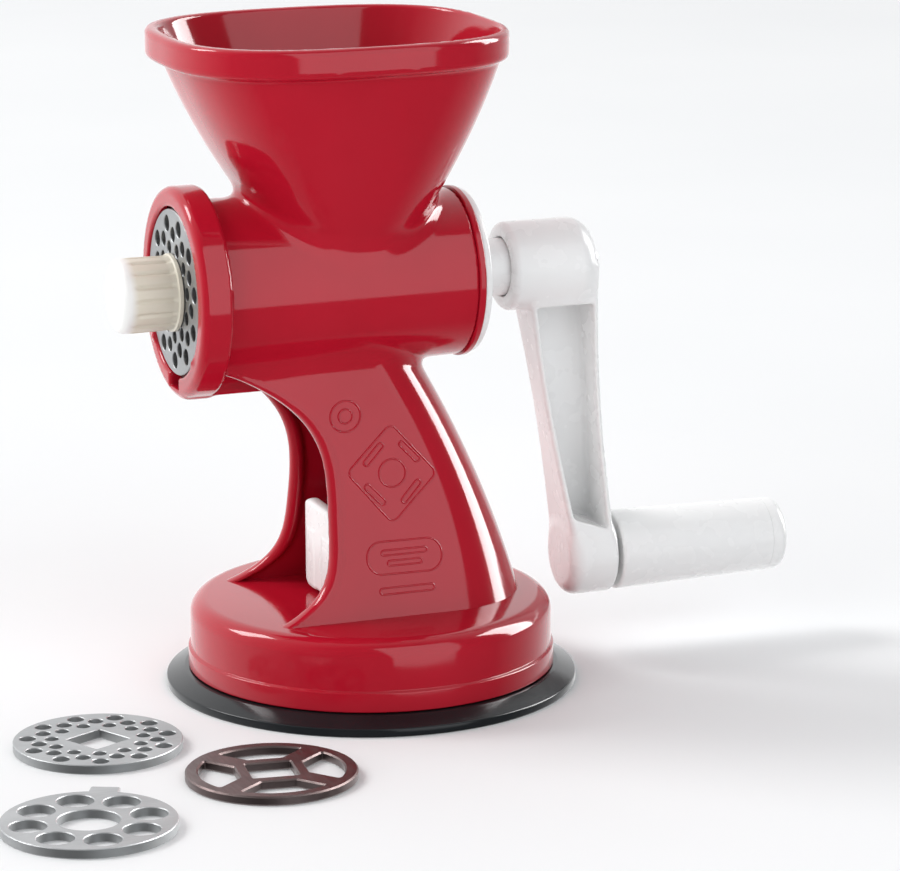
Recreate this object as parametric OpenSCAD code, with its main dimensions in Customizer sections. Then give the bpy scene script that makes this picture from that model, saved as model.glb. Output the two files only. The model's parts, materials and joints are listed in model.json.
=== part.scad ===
// Hand crank meat grinder: one-piece body on a suction base, feed screw, plates, clamp nut and crank.
// Origin: centre of the base on the worktop. +Z is up. The barrel axis lies along X,
// the plates and the clamp nut are at its -X end and the crank is at its +X end.

/* [Grinding plates] */
// Diameter of every plate
plate_d = 54; // [48:1:54]
// Thickness of a plate
plate_t = 3; // [2:0.5:3]
// Side of the square drive hole and of the screw's square
drive_sq = 14.5; // [12:0.5:15]
// Holes in each ring of the fine plate
fine_count = 11; // [9:1:11]
// Diameter of a fine hole
fine_hole_d = 5.4; // [3:0.2:5.6]
// Holes in the coarse plate
coarse_count = 8; // [6:1:8]
// Diameter of a coarse hole
coarse_hole_d = 11.6; // [9:0.2:12]
// Width of the fixed plates' locating tab
tab_w = 9.2; // [7:0.2:10]

/* [Barrel] */
// Height of the barrel axis above the worktop
axis_z = 136.6; // [134:0.2:140]
// Front face of the mouth collar
mouth_x = -67.3; // [-70:0.1:-66]
// Rear face of the barrel
rear_x = 31.2; // [30:0.1:33]
// Outer radius of the mouth collar
collar_r = 34.3; // [33.5:0.1:35]
// Outer radius of the barrel behind the collar
barrel_r1 = 29.6; // [29:0.1:30.5]
// Outer radius of the barrel at its rear
barrel_r2 = 27.5; // [27:0.1:28]
// Radius of the barrel's bore
bore_r = 25.4; // [25:0.1:25.6]

/* [Hopper] */
// Length of the hopper's rim along X
hopper_l = 113.4; // [104:0.2:118]
// Width of the hopper's rim along Y
hopper_w = 99.2; // [94:0.2:104]
// Middle of the hopper's rim in X
hopper_x = -13.4; // [-16:0.2:-12]
// Middle of the hopper's throat in X
throat_x = -9.4; // [-12:0.2:-8]
// Height of the hopper's rim
rim_z = 220; // [214:1:224]
// Height of the band round the rim
lip_h = 9.6; // [7:0.2:11]
// Wall thickness of the hopper
hopper_wall = 2.8; // [2.4:0.1:3.2]

/* [Stand and base] */
// Radius of the base shell
base_r = 60.3; // [58:0.1:62]
// Height of the base's top face
base_z = 29.4; // [28:0.1:30]
// Half width of the stand at its waist
stand_w = 20; // [19:0.5:21]
// Half width added where the stand meets the base
stand_flare = 12; // [10:0.5:13]
// Wall thickness of the stand and the base
wall = 2.8; // [2.4:0.1:3]
// Radius of the rubber suction pad
pad_r = 68.5; // [66:0.5:70]

/* [Crank] */
// Distance from the barrel axis to the grip axis
throw_len = 101.3; // [95:0.1:104]
// Inner face of the crank hub
hub_x = 46.5; // [45:0.1:48]
// Radius of the crank hub
hub_r = 14.8; // [14:0.1:16]
// Radius of the crank's lower boss
boss_r = 13.8; // [13:0.1:14.5]
// Radius of the screw's rear shaft
shaft_r = 9.6; // [9:0.1:10]
// Length of the grip
grip_len = 62; // [60:0.5:70]
// Radius of the grip at its inner end
grip_r1 = 13.5; // [13:0.1:14]
// Radius of the grip at its outer end
grip_r2 = 12.3; // [11.8:0.1:13]

/* [Hidden] */
$fn = 48;

red = [0.78, 0.08, 0.13];
white = [0.93, 0.93, 0.91];
cream = [0.92, 0.90, 0.82];
steel = [0.60, 0.61, 0.62];
dark_steel = [0.27, 0.22, 0.21];
black = [0.06, 0.07, 0.08];

fit = 0.05;            // radial running clearance
gap = 0.3;             // clearance between parts that only pass each other
plate_r = plate_d / 2;
seat_r = plate_r + gap;
tab_reach = 31.2;      // centre of a fixed plate to the end of its tab
front_plate_x = mouth_x + 0.7;
fixed_plate_x = front_plate_x + plate_t + 0.2;
seat_x = fixed_plate_x + plate_t + 0.1;
collar_len = 10.4;
keel_r = 34.5;
bush_r = 14;
bush_t = 2.5;          // flange of the bush behind the barrel
bush_depth = 5.2;      // part of the bush inside the barrel
hub_len = 31.2;
washer_x = hub_x + hub_len - 1.2;
crank_sq = 13;         // square end of the screw, in the crank's hub
crank_sq_x = hub_x + 6;
crank_screw_r = 2.5;
grip_x = hub_x + 40;
grip_z = axis_z - throw_len;
pin_r = 4;
pin_end_x = grip_x + grip_len - 12;
cap_x = grip_x + grip_len - 6;
cap_r = 7.3;
lever_pin_z = 39;
lever_pin_r = 2.5;
stud_r = 6;
stud_z = 5;            // lower end of the stud
flange_z = 9.2;        // underside of the stud's flange
pad_plate_z = 7;
pad_plate_r = 16.2;
skirt_r = base_r + 0.8;
skirt_z = 13;
pad_rim_t = 3;
shell_z = 6;
edge_r = 5.6;          // rounding of the base's shoulder

// ---- general shapes --------------------------------------------------------

// Cylinder along +X from x0 to x1
module xcyl(x0, x1, r, r2 = -1, fn = 64)
    translate([x0, 0, 0]) rotate([0, 90, 0]) cylinder(h = x1 - x0, r1 = r, r2 = r2 < 0 ? r : r2, $fn = fn);

// Moves its children to the barrel axis
module on_axis() translate([0, 0, axis_z]) children();

// Superellipse outline with n points
function oval(a, b, p, n) = [for (i = [0:n - 1])
    let (t = 360 * i / n, c = cos(t), s = sin(t))
    [a * sign(c) * pow(abs(c), 2 / p), b * sign(s) * pow(abs(s), 2 / p)]];

// Solid skin through rings that all have the same number of points
module loft(rings) {
    m = len(rings[0]);
    k = len(rings);
    points = [for (r = rings) each r];
    sides = [for (j = [0:k - 2], i = [0:m - 1]) let (a = j * m + i, b = j * m + (i + 1) % m)
        each [[a, b + m, b], [a, a + m, b + m]]];
    bottom = [for (i = [1:m - 2]) [0, i, i + 1]];
    top = [for (i = [1:m - 2]) [(k - 1) * m, (k - 1) * m + i + 1, (k - 1) * m + i]];
    polyhedron(points = points, faces = concat(sides, bottom, top), convexity = 6);
}

// ---- moulded body ----------------------------------------------------------

// Share of the hopper's flare reached at a height, 0 at the throat and 1 under the band
hopper_low = 150;
hopper_bow = 0.35;
function flare_at(z) = let (t = (z - hopper_low) / (rim_z - lip_h - hopper_low))
    t * (1 + hopper_bow * (1 - t));
throat_a = 20.5;
throat_b = 25.5;
band_a = 3.6;
band_b = 3;
function hopper_a(z) = throat_a + (hopper_l / 2 - band_a - throat_a) * flare_at(z);
function hopper_b(z) = throat_b + (hopper_w / 2 - band_b - throat_b) * flare_at(z);
function hopper_mid(z) = throat_x + (hopper_x + 1.2 - throat_x) * flare_at(z);
function hopper_ring(z, grow) =
    [for (p = oval(hopper_a(z) + grow, hopper_b(z) + grow, 2.4 + 0.4 * flare_at(z), 40))
        [p[0] + hopper_mid(z), p[1], z]];

module hopper_outer() {
    z1 = rim_z - lip_h;
    loft([for (z = [144, 155, 166, 177, 188, 199, z1]) hopper_ring(z, 0)]);
    loft([for (s = [[-1, -1], [0, 0], [lip_h - 1, 0], [lip_h, -1]])
        [for (p = oval(hopper_l / 2 + s[1], hopper_w / 2 + s[1], 2.8, 40))
            [p[0] + hopper_x, p[1], z1 + s[0]]]]);
}

module hopper_inner()
    loft([for (z = [146, 158, 170, 182, 194, 208, rim_z + 1]) hopper_ring(z, -hopper_wall)]);

// Profile of the barrel, revolved about the axis
module barrel_outer() on_axis() {
    x1 = mouth_x + collar_len;
    rotate([0, 90, 0]) rotate_extrude($fn = 96) polygon([
        [0, mouth_x], [collar_r - 2.4, mouth_x], [collar_r - 0.7, mouth_x + 0.8], [collar_r, mouth_x + 2.6],
        [collar_r, x1 - 1.6], [collar_r - 0.6, x1 - 0.4], [collar_r - 1.6, x1],
        [barrel_r1 + 1, x1], [barrel_r1, x1 + 1.4],
        [barrel_r2, rear_x - 2.6], [barrel_r2 - 0.3, rear_x - 2.2], [barrel_r2 + 0.6, rear_x - 2],
        [barrel_r2 + 0.7, rear_x - 0.8], [barrel_r2 - 0.2, rear_x], [0, rear_x]]);
    intersection() {
        xcyl(mouth_x + 4, -34, keel_r, fn = 96);
        translate([mouth_x + 4, -tab_w / 2 - 3.4, -keel_r - 1]) cube([30, tab_w + 6.8, 14]);
    }
}

// Half width, front edge and back of the stand at a height
waist_z = 66;
function half_w(z) = stand_w + stand_flare * pow(max(0, (100 - z) / 70), 2.2);
function back_x(z) = 50.4 - 0.28 * (z - base_z) - 0.0019 * pow(z - base_z, 2);
function front_x(z) = z > waist_z
    ? -21.5 - 24.5 * pow((z - waist_z) / 41.4, 3)
    : -21.5 - 0.04 * (waist_z - z) - 18 * pow((waist_z - z) / 36.6, 5);

// Outline of the stand at a height: straight sides and a round back, shrunk by a wall
function stand_ring(z, inset, front) = let (w = half_w(z) - inset, c = back_x(z) - half_w(z))
    concat([for (i = [0:10]) let (t = -90 + 18 * i) [c + w * cos(t), w * sin(t), z]],
        [[front, w, z], [front, -w, z]]);

module stand_outer() loft([
    for (z = [base_z - 1.5, 30, 32.5, 36, 42, 50, 60, 70, 80, 88, 95, 101, 106, 112, 118])
        stand_ring(z, 0, front_x(max(z, 30)))]);

module stand_inner()
    loft([for (z = [base_z, 36, 46, 60, 76, 92, 108, 119]) stand_ring(z, wall, -90)]);

module base_outer() rotate_extrude($fn = 96) polygon(concat(
    [[0, shell_z], [skirt_r, shell_z], [skirt_r, skirt_z - 0.5], [base_r, skirt_z]],
    [for (i = [0:6]) let (t = 15 * i) [base_r - edge_r + edge_r * cos(t), base_z - edge_r + edge_r * sin(t)]],
    [[0, base_z]]));

module base_inner() rotate_extrude($fn = 96) polygon([
    [0, shell_z - 1], [base_r - wall, shell_z - 1], [base_r - wall, base_z - 7],
    [base_r - wall - 4, base_z - wall], [0, base_z - wall]]);

// The body is one moulding. It is kept as four solids that meet at level planes.
hopper_cut = 166.5;
stand_cut = 101.5;

// Everything above a level, or below it when side is -1
module beyond(z, side = 1) intersection() {
    children();
    translate([-150, -150, side > 0 ? z : z - 300]) cube([300, 300, 300]);
}

module stand_walls() difference() {
    stand_outer();
    stand_inner();
}

module hopper() color(red) difference() {
    beyond(hopper_cut) hopper_outer();
    hopper_inner();
}

module barrel() color(red) difference() {
    union() {
        beyond(stand_cut) stand_walls();
        beyond(hopper_cut, -1) hopper_outer();
        barrel_outer();
    }
    hopper_inner();
    on_axis() {
        xcyl(seat_x - 0.01, rear_x - bush_depth, bore_r, fn = 96);
        xcyl(mouth_x - 1, seat_x, seat_r, fn = 96);
        xcyl(rear_x - bush_depth - 1, rear_x + 1, bush_r + 0.02);
        translate([mouth_x - 1, -tab_w / 2 - 0.2, -tab_reach - 0.4])
            cube([seat_x - mouth_x + 1, tab_w + 0.4, 14]);
    }
}

module stand() color(red) beyond(base_z) beyond(stand_cut, -1) stand_walls();

module base_shell() color(red) difference() {
    base_outer();
    base_inner();
    cylinder(h = base_z + 5, r = stud_r + fit);
}

// ---- fixed parts in the barrel ---------------------------------------------

module rear_bush() color(white) on_axis() difference() {
    union() {
        xcyl(rear_x - bush_depth, rear_x, bush_r);
        xcyl(rear_x, rear_x + bush_t, barrel_r2, barrel_r2 - 0.4);
    }
    xcyl(rear_x - bush_depth - 1, rear_x + bush_t + 1, shaft_r + fit);
}

// Rings of small holes; the middle ring is turned by half a pitch
fine_rings = [22.5, 18.9, 14.7];
module fine_holes() for (k = [0:2], i = [0:fine_count - 1])
    rotate([0, 0, (i + (k == 1 ? 0.5 : 0)) * 360 / fine_count])
        translate([fine_rings[k], 0, -1]) cylinder(h = plate_t + 2, d = fine_hole_d - 0.5 * k, $fn = 24);

module drive_hole() translate([-drive_sq / 2, -drive_sq / 2, -1]) cube([drive_sq, drive_sq, plate_t + 2]);

module fine_plate(t) difference() {
    cylinder(h = t, r = plate_r, $fn = 96);
    fine_holes();
    drive_hole();
}

module tabbed_disc() {
    cylinder(h = plate_t, r = plate_r, $fn = 96);
    translate([0, -tab_w / 2, 0]) cube([tab_reach, tab_w, plate_t]);
}

coarse_ring = 18.6;
coarse_bore_d = 19.3;
module coarse_plate() difference() {
    tabbed_disc();
    for (i = [0:coarse_count - 1]) rotate([0, 0, (i + 0.5) * 360 / coarse_count])
        translate([coarse_ring, 0, -1]) cylinder(h = plate_t + 2, d = coarse_hole_d, $fn = 32);
    translate([0, 0, -1]) cylinder(h = plate_t + 2, d = coarse_bore_d);
}

// Turns a flat plate so that its upper face looks out of the mouth, with its tab pointing down
module in_mouth(x) translate([x + plate_t, 0, axis_z]) rotate([0, -90, 0]) rotate([0, 0, 180]) children();

module fixed_plate() color(dark_steel) in_mouth(fixed_plate_x) coarse_plate();

// ---- suction base ----------------------------------------------------------

module suction_pad() color(black) difference() {
    rotate_extrude($fn = 96) polygon([
        [0, 3.6], [20, 3.2], [44, 1.6], [57, 0], [pad_r, 0], [pad_r, pad_rim_t - 0.4],
        [pad_r - 0.5, pad_rim_t], [skirt_r + 1.2, shell_z - 0.6], [skirt_r, shell_z - gap],
        [56, shell_z - gap], [44, 5.8], [22, 8], [20, 11.6], [0, 11.6]]);
    translate([0, 0, pad_plate_z]) cylinder(h = 6, r = pad_plate_r);
    translate([0, 0, stud_z]) cylinder(h = 6, r = stud_r);
}

module pad_plate() color(steel) translate([0, 0, pad_plate_z]) difference() {
    cylinder(h = flange_z - pad_plate_z, r = pad_plate_r);
    translate([0, 0, -1]) cylinder(h = 4, r = stud_r);
}

module suction_stud() color(steel) difference() {
    union() {
        translate([0, 0, stud_z]) cylinder(h = lever_pin_z, r = stud_r);
        translate([0, 0, flange_z]) cylinder(h = 2.6, r = 9);
    }
    for (s = [-1, 1]) translate([-10, s * 10 - 5, base_z + 0.7]) cube([20, 10, 20]);
    translate([0, 10, lever_pin_z]) rotate([90, 0, 0]) cylinder(h = 20, r = lever_pin_r);
}

module lever_pin() color(steel) translate([0, 10.5, lever_pin_z]) rotate([90, 0, 0]) {
    cylinder(h = 21, r = lever_pin_r);
    cylinder(h = 0.5, r = lever_pin_r + 1);
}

// Cam cheeks on both sides of the stud, joined to an upright paddle that faces the open side
cam_base_r = 5.4;
paddle_x = -18.4;
paddle_w = 27;
paddle_top = 62;
module suction_lever() color(white) difference() {
    union() {
        for (s = [-1, 1]) translate([0, s * 7.6 + 2.2, lever_pin_z]) rotate([90, 0, 0]) linear_extrude(4.4) {
            circle(r = cam_base_r);
            hull() {
                circle(r = 4.6);
                translate([-1.4, -6.1]) circle(r = 2.4);
            }
            polygon([[0, cam_base_r], [0, -4.6], [paddle_x + 3, -7.2], [paddle_x + 3, 9]]);
        }
        translate([paddle_x, 0, 0]) rotate([90, 0, 90]) linear_extrude(4.6) hull()
            for (s = [-1, 1]) {
                translate([s * (paddle_w / 2 - 5), paddle_top - 6]) circle(r = 5, $fn = 32);
                translate([s * (paddle_w / 2 - 3.6), base_z + 5]) circle(r = 4, $fn = 32);
                translate([s * (paddle_w / 2 - 4), 46]) circle(r = 5, $fn = 32);
            }
    }
    translate([0, 20, lever_pin_z]) rotate([90, 0, 0]) cylinder(h = 40, r = lever_pin_r + fit);
}

module wear_washer() color(steel) translate([0, 0, base_z]) difference() {
    cylinder(h = 0.8, r = 12.4);
    translate([0, 0, -1]) cylinder(h = 3, r = stud_r + 0.4);
}

// ---- drive -----------------------------------------------------------------

flight_r = bore_r - 0.4;
screw_front = fixed_plate_x + plate_t + 0.6;
screw_rear = rear_x - bush_depth - 1.6;
root_r1 = 8.6;
root_r2 = 13;
flight_pitch = 30;
flight_steps = 56;
nut_thread_r = 6;
nut_len = 20;
nut_r = 12;
nut_x = front_plate_x;

module feed_screw() color(white) on_axis() {
    loft([for (i = [0:flight_steps]) let (run = (screw_rear - screw_front) * i / flight_steps,
        x = screw_front + run, turn = 360 * run / flight_pitch)
        concat([for (k = [0:4]) let (t = turn + 11 * k - 22) [x, flight_r * cos(t), flight_r * sin(t)]],
            [for (t = [turn + 42, turn - 42]) [x, 7 * cos(t), 7 * sin(t)]])]);
    xcyl(screw_front, screw_rear, root_r1, root_r2);
    xcyl(screw_rear, crank_sq_x, shaft_r);
    translate([crank_sq_x, -crank_sq / 2, -crank_sq / 2]) cube([16, crank_sq, crank_sq]);
    xcyl(fixed_plate_x - 0.2, screw_front, root_r1);
    translate([front_plate_x - 0.1, -drive_sq / 2 + 0.1, -drive_sq / 2 + 0.1])
        cube([plate_t + 0.2, drive_sq - 0.2, drive_sq - 0.2]);
    xcyl(front_plate_x - nut_len + 4, front_plate_x, nut_thread_r);
}

module thrust_washer() color(cream) on_axis() difference() {
    xcyl(screw_rear + 0.1, rear_x - bush_depth - 0.1, 15);
    xcyl(screw_rear - 1, rear_x, shaft_r + 0.2);
}

module rotating_plate() color(steel) in_mouth(front_plate_x) fine_plate(plate_t - 0.1);

// Fluted nut with a thin flange against the plate and a domed end
module clamp_nut() color(cream) on_axis() difference() {
    union() {
        xcyl(nut_x - 1.6, nut_x - 0.1, 12.8);
        translate([nut_x - nut_len + 4, 0, 0]) rotate([0, 90, 0]) linear_extrude(nut_len - 5) difference() {
            circle(r = nut_r);
            for (i = [0:15]) rotate(22.5 * i) translate([nut_r + 0.55, 0]) circle(r = 1.15, $fn = 16);
        }
        translate([nut_x - nut_len, 0, 0]) rotate([0, 90, 0]) rotate_extrude($fn = 64) polygon([
            [0, 1], [3, 0.9], [4.2, 0], [8.6, 0], [10.8, 0.8], [12, 2.2], [12.3, 4.2], [12.2, 5], [0, 5]]);
    }
    xcyl(nut_x - nut_len + 3.6, nut_x + 1, nut_thread_r + 0.1);
}

// ---- crank -----------------------------------------------------------------

// Back face and inner face of the arm along its length, 0 at the hub and 1 at the boss
function arm_back(s) = hub_x + hub_len + 6.5 * s;
function arm_front(s) = hub_x + 5.6 + 18 * s;
function arm_half(s) = 11.5 - 4.6 * sin(180 * min(1, s * 1.1));
arm_flange = 2.2;
arm_web = 3;
tail_r = pin_r - 0.6;
tail_x = hub_x + 24;

// The hollow between the arm's two flanges, open towards -Y with a web at its far side
module arm_hollow()
    loft([for (i = [0:6]) let (z = grip_z + 17 + (throw_len - 34) * i / 6, q = 1 - (z - grip_z) / throw_len,
        x0 = arm_front(q) + arm_flange, x1 = arm_back(q) - arm_flange, y1 = arm_half(q) - arm_web)
        [[x0, -30, z], [x1, -30, z], [x1, y1, z], [x0, y1, z]]]);

module crank_arm() color(white) difference() {
    union() {
        on_axis() xcyl(hub_x, hub_x + hub_len, hub_r);
        translate([0, 0, grip_z]) xcyl(hub_x + 21.5, grip_x - 2, boss_r);
        loft([for (i = [0:8]) let (s = i / 8, z = grip_z + 3 + (throw_len - 8) * s, q = 1 - s)
            [[arm_front(q), -arm_half(q), z], [arm_back(q), -arm_half(q), z],
             [arm_back(q), arm_half(q), z], [arm_front(q), arm_half(q), z]]]);
    }
    arm_hollow();
    on_axis() {
        xcyl(hub_x - 1, crank_sq_x, shaft_r + fit);
        translate([hub_x, -crank_sq / 2 - 0.1, -crank_sq / 2 - 0.1])
            cube([22.2, crank_sq + 0.2, crank_sq + 0.2]);
        xcyl(hub_x + 20, hub_x + hub_len + 1, crank_screw_r + 0.1);
        xcyl(washer_x, hub_x + hub_len + 1, 6.2);
    }
    translate([0, 0, grip_z]) xcyl(tail_x, grip_x, tail_r);
}

module crank_washer() color(steel) on_axis() difference() {
    xcyl(washer_x, washer_x + 0.9, 6.1);
    xcyl(washer_x - 1, washer_x + 2, crank_screw_r + fit);
}

module crank_screw() color(steel) on_axis() difference() {
    union() {
        xcyl(hub_x + 22.1, washer_x + 1.1, crank_screw_r);
        xcyl(washer_x + 0.9, washer_x + 3.7, 5, 3.8);
    }
    translate([washer_x + 2.7, -0.6, -6]) cube([3, 1.2, 12]);
}

module handle_pin() color(steel) translate([0, 0, grip_z]) difference() {
    union() {
        xcyl(tail_x, grip_x - 2, tail_r);
        xcyl(grip_x - 2, pin_end_x, pin_r);
        xcyl(pin_end_x, pin_end_x + 3.4, 6.4, 5.6);
    }
    translate([pin_end_x + 2, -0.6, -7]) cube([3, 1.2, 14]);
}

module handle_washer() color(steel) translate([0, 0, grip_z]) difference() {
    xcyl(grip_x - 1.9, grip_x - 0.9, 8);
    xcyl(grip_x - 3, grip_x + 1, pin_r + fit);
}

module handle_grip() color(white) translate([0, 0, grip_z]) difference() {
    xcyl(grip_x, cap_x, grip_r1, grip_r2, fn = 96);
    xcyl(grip_x - 1, cap_x + 1, pin_r + fit);
    xcyl(pin_end_x - 0.6, cap_x + 1, cap_r + 0.1);
}

module grip_cap() color(white) translate([cap_x, 0, grip_z]) rotate([0, 90, 0])
    rotate_extrude($fn = 64) polygon(concat(
        [[0, -2], [cap_r, -2], [cap_r, 0]],
        [for (i = [0:6]) let (t = 15 * i) [grip_r2 - 6 + 6 * cos(t), 6 * sin(t)]],
        [[0, 6]]));

// ---- plates on the worktop -------------------------------------------------

module loose_fine_plate() color(steel) translate([-107.3, -42.3, 0]) rotate([0, 0, 27]) fine_plate(plate_t);

module loose_coarse_plate() color(steel) translate([-131.6, -117.2, 0]) rotate([0, 0, 64.5]) coarse_plate();

// Disc with four windows between a square hub and the rim
module loose_knife_disc() color(dark_steel) translate([-65.4, -91.4, 0]) rotate([0, 0, -7]) difference() {
    cylinder(h = plate_t, r = plate_r, $fn = 96);
    translate([0, 0, -1]) for (a = [0:90:270]) rotate([0, 0, a]) linear_extrude(plate_t + 2) intersection() {
        circle(r = 22.9, $fn = 96);
        polygon([[11, -5.4], [11, 5.4], [30, 24.4], [30, -24.4]]);
    }
    drive_hole();
}

hopper();
barrel();
stand();
base_shell();
rear_bush();
fixed_plate();
suction_pad();
suction_stud();
pad_plate();
lever_pin();
suction_lever();
wear_washer();
feed_screw();
thrust_washer();
rotating_plate();
clamp_nut();
crank_arm();
crank_screw();
crank_washer();
handle_pin();
handle_washer();
handle_grip();
grip_cap();
loose_fine_plate();
loose_coarse_plate();
loose_knife_disc();
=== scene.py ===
"""Hand crank meat grinder: finished meshes, materials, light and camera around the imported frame.

Lengths in the modelling code are millimetres and become metres when a piece is made.
"""

import json
import math
from functools import reduce

import bmesh
import bpy
import numpy as np
import openvdb
from mathutils import Matrix, Vector
from mathutils.geometry import tessellate_polygon


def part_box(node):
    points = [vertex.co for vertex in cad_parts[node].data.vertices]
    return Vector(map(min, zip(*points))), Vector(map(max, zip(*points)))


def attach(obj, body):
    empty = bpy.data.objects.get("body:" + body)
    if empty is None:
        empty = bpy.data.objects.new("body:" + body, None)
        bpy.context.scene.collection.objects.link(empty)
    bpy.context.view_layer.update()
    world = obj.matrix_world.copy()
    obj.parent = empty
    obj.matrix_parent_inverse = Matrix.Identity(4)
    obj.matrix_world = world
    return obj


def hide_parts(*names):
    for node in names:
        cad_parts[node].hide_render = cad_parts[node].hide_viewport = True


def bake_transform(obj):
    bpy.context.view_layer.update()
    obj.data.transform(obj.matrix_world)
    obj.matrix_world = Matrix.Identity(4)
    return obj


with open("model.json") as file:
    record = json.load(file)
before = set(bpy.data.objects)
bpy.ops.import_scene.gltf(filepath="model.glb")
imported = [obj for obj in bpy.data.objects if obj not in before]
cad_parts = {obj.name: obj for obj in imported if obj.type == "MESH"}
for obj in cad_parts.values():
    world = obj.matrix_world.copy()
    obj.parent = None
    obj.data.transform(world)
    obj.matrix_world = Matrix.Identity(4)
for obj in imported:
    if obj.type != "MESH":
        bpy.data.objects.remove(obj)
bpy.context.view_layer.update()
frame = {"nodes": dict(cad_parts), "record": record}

MM = 0.001
FINE_GRADIENT = 0.05

# Grid spacing of the pieces made from distance fields
HOUSING_STEP = 1.12
ARM_STEP = 0.62
SCREW_STEP = 0.85
LEVER_STEP = 0.5


# ---- places taken from the frame ------------------------------------------


def span(node):
    """Lowest and highest corner of a CAD node, in millimetres."""
    low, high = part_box(node)
    return np.array(low) / MM, np.array(high) / MM


HOPPER_BOTTOM, HOPPER_TOP = span("hopper")
SHELL_LOW, SHELL_HIGH = span("base_shell")
PLATE_LOW, PLATE_HIGH = span("rotating_plate")
BUSH_LOW, BUSH_HIGH = span("rear_bush")
PAD_HIGH = span("suction_pad")[1]
ARM_LOW, ARM_HIGH = span("crank_arm")
GRIP_LOW, GRIP_HIGH = span("handle_grip")
CAP_LOW, CAP_HIGH = span("grip_cap")
NUT_LOW, NUT_HIGH = span("clamp_nut")
LEVER_LOW, LEVER_HIGH = span("suction_lever")

AXIS_Z = (PLATE_LOW[2] + PLATE_HIGH[2]) / 2
PLATE_R = (PLATE_HIGH[2] - PLATE_LOW[2]) / 2
MOUTH_X = PLATE_LOW[0] - 0.7
BUSH_FLANGE = 2.5
REAR_X = BUSH_HIGH[0] - BUSH_FLANGE
BARREL_R1 = 29.6
BARREL_R2 = (BUSH_HIGH[2] - BUSH_LOW[2]) / 2
COLLAR_R = 34.3
COLLAR_LEN = 10.4
KEEL_R = 34.4
BORE_R = 25.4
SEAT_R = PLATE_R + 0.7
SEAT_X = MOUTH_X + 7
TAB_HALF = 4.8
TAB_DROP = 31.6

RIM_Z = HOPPER_TOP[2]
LIP_H = 9.6
HOPPER_A, HOPPER_B = (HOPPER_TOP - HOPPER_BOTTOM)[:2] / 2
HOPPER_X = (HOPPER_TOP[0] + HOPPER_BOTTOM[0]) / 2
HOPPER_WALL = 2.8
HOPPER_LOW = 150
BAND_A = 3.6
BAND_B = 3.0
THROAT_A = 20.5
THROAT_B = 25.5
THROAT_X = -9.4

SKIRT_R = SHELL_HIGH[1]
BASE_R = SKIRT_R - 0.8
BASE_Z = 29.4
SKIRT_Z = 13
SHELL_Z = SHELL_LOW[2]
WALL = 3.2
RIM_R = 2.6
PAD_R = PAD_HIGH[0]

HUB_X = ARM_LOW[0]
HUB_R = ARM_HIGH[2] - AXIS_Z
HUB_LEN = 31.2
GRIP_Z = (GRIP_LOW[2] + GRIP_HIGH[2]) / 2
GRIP_R1 = (GRIP_HIGH[2] - GRIP_LOW[2]) / 2
GRIP_R2 = (CAP_HIGH[2] - CAP_LOW[2]) / 2
BOSS_R = GRIP_Z - ARM_LOW[2]
THROW = AXIS_Z - GRIP_Z
SHAFT_R = 9.6
LEVER_PIN_Z = 39
BUSH_DEPTH = 5.2
BOSS_FROM = 21.5
PLATE_T = 3.0
ROTATING_T = 2.9


# ---- materials ------------------------------------------------------------


def shader(name, **sockets):
    """A material with its Principled shader's sockets set, and the two nodes."""
    material = bpy.data.materials.new(name)
    material.use_nodes = True
    tree = material.node_tree
    node = tree.nodes["Principled BSDF"]
    for socket, value in sockets.items():
        node.inputs[socket.replace("_", " ")].default_value = value
    return material, tree, node


def noise(tree, scale, detail=3.0, stretch=(1, 1, 1)):
    """Noise in object space, stretched along the axes."""
    place = tree.nodes.new("ShaderNodeTexCoord")
    mapping = tree.nodes.new("ShaderNodeMapping")
    mapping.inputs["Scale"].default_value = stretch
    texture = tree.nodes.new("ShaderNodeTexNoise")
    texture.inputs["Scale"].default_value = scale
    texture.inputs["Detail"].default_value = detail
    tree.links.new(place.outputs["Object"], mapping.inputs["Vector"])
    tree.links.new(mapping.outputs["Vector"], texture.inputs["Vector"])
    return texture.outputs["Fac"]


def ramp(tree, value, low, high, start=0.3, end=0.7):
    """A value mapped from a noise output onto low..high."""
    node = tree.nodes.new("ShaderNodeMapRange")
    node.inputs["From Min"].default_value = start
    node.inputs["From Max"].default_value = end
    node.inputs["To Min"].default_value = low
    node.inputs["To Max"].default_value = high
    tree.links.new(value, node.inputs["Value"])
    return node.outputs["Result"]


def tint(tree, value, dark, light, start=0.3, end=0.7):
    """A colour between dark and light, by a noise output."""
    node = tree.nodes.new("ShaderNodeValToRGB")
    node.color_ramp.elements[0].position = start
    node.color_ramp.elements[0].color = (*dark, 1)
    node.color_ramp.elements[1].position = end
    node.color_ramp.elements[1].color = (*light, 1)
    tree.links.new(value, node.inputs["Fac"])
    return node.outputs["Color"]


def bump(tree, node, value, strength, distance):
    """Bump on the shader from a noise output."""
    bump_node = tree.nodes.new("ShaderNodeBump")
    bump_node.inputs["Strength"].default_value = strength
    bump_node.inputs["Distance"].default_value = distance
    tree.links.new(value, bump_node.inputs["Height"])
    tree.links.new(bump_node.outputs["Normal"], node.inputs["Normal"])


def red_plastic():
    material, tree, node = shader("red_plastic", Specular_IOR_Level=0.5, IOR=1.5)
    flow = noise(tree, 26, 4, (1, 1, 0.5))
    colour = tint(tree, flow, (0.420, 0.0060, 0.0190), (0.465, 0.0075, 0.0230))
    tree.links.new(colour, node.inputs["Base Color"])
    tree.links.new(ramp(tree, noise(tree, 60, 3), 0.07, 0.12), node.inputs["Roughness"])
    bump(tree, node, noise(tree, 140, 2), 0.03, 0.0003)
    return material


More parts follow.
